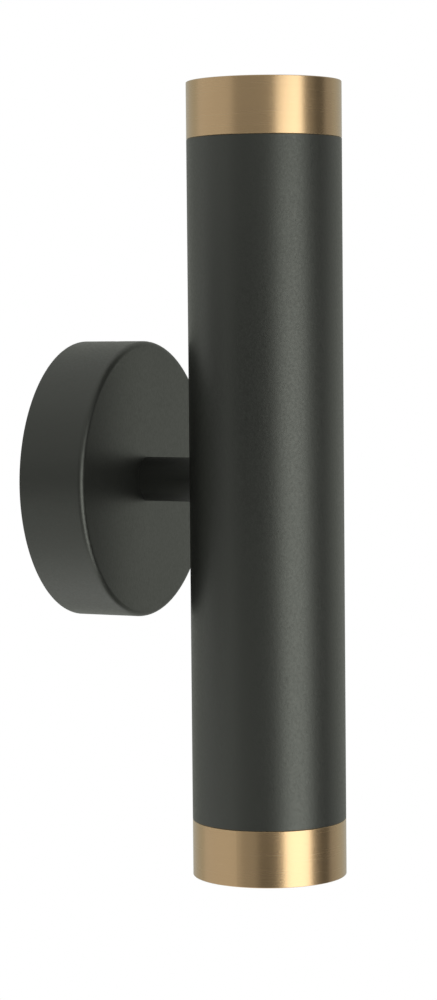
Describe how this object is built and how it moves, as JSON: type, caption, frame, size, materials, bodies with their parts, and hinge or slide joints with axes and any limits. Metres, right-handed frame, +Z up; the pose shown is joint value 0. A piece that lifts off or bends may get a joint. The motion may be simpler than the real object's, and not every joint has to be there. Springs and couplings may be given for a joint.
{
  "type": "wall spotlight",
  "caption": "Up-and-down wall spotlight: a black tube with a brass ring on each end, held off a round black canopy by a short stem, with twist-lock reflector lamps.",
  "frame": {"origin": "on the wall plane, on the stem's axis, midway between the wall screws", "axes": "+Z up along the tube, +Y into the wall, so that the light stands out towards -Y"},
  "size_m": [0.1, 0.1, 0.282],
  "materials": {
    "black_coat": "fine-textured black powder coat",
    "black_screw": "blackened steel",
    "brass_finish": "satin turned brass",
    "zinc_steel": "bright zinc plate",
    "contact_brass": "plain brass",
    "block_nylon": "natural nylon",
    "bush_plastic": "black plastic",
    "earth_insulation": "green sheath with a yellow stripe",
    "live_insulation": "brown sheath",
    "neutral_insulation": "blue sheath",
    "holder_ceramic": "unglazed off-white ceramic",
    "lamp_shell": "satin white moulding",
    "reflector_film": "bright metallised bowl",
    "chip_phosphor": "yellow phosphor",
    "lamp_glass": "clear lens",
    "pin_nickel": "nickel plate"
  },
  "bodies": {
    "fixture": {"bottom_holder_contacts": "contact_brass", "bottom_holder_screws": "zinc_steel", "bottom_lampholder": "holder_ceramic", "bottom_live_lead": "live_insulation", "bottom_neutral_lead": "neutral_insulation", "bottom_ring": "brass_finish", "canopy": "black_coat", "canopy_nut": "zinc_steel", "canopy_screws": "black_screw", "canopy_tooth_washer": "zinc_steel", "earth_lead": "earth_insulation", "earth_lug": "zinc_steel", "earth_screw": "contact_brass", "earth_washer": "contact_brass", "lamp_carrier": "zinc_steel", "nipple_bushes": "bush_plastic", "saddle_washer": "zinc_steel", "stem_sleeve": "black_coat", "terminal_block": "block_nylon", "terminal_clamps": "contact_brass", "terminal_screws": "zinc_steel", "threaded_nipple": "zinc_steel", "top_holder_contacts": "contact_brass", "top_holder_screws": "zinc_steel", "top_lampholder": "holder_ceramic", "top_live_lead": "live_insulation", "top_neutral_lead": "neutral_insulation", "top_ring": "brass_finish", "tube": "black_coat", "tube_nut": "zinc_steel", "wall_bracket": "zinc_steel"},
    "top_lamp": {"top_lamp_housing": "lamp_shell", "top_lamp_reflector": "reflector_film", "top_lamp_chip": "chip_phosphor", "top_lamp_lens": "lamp_glass", "top_lamp_pins": "pin_nickel"},
    "bottom_lamp": {"bottom_lamp_housing": "lamp_shell", "bottom_lamp_reflector": "reflector_film", "bottom_lamp_chip": "chip_phosphor", "bottom_lamp_lens": "lamp_glass", "bottom_lamp_pins": "pin_nickel"}
  },
  "joints": [
    {"name": "top_lamp_twist", "type": "hinge", "parent": "fixture", "child": "top_lamp", "pos_m": [0, -0.0725, 0.0765], "axis": [0, 0, 1], "range_deg": [0, 40]},
    {"name": "bottom_lamp_twist", "type": "hinge", "parent": "fixture", "child": "bottom_lamp", "pos_m": [0, -0.0725, -0.0765], "axis": [0, 0, -1], "range_deg": [0, 40]}
  ]
}
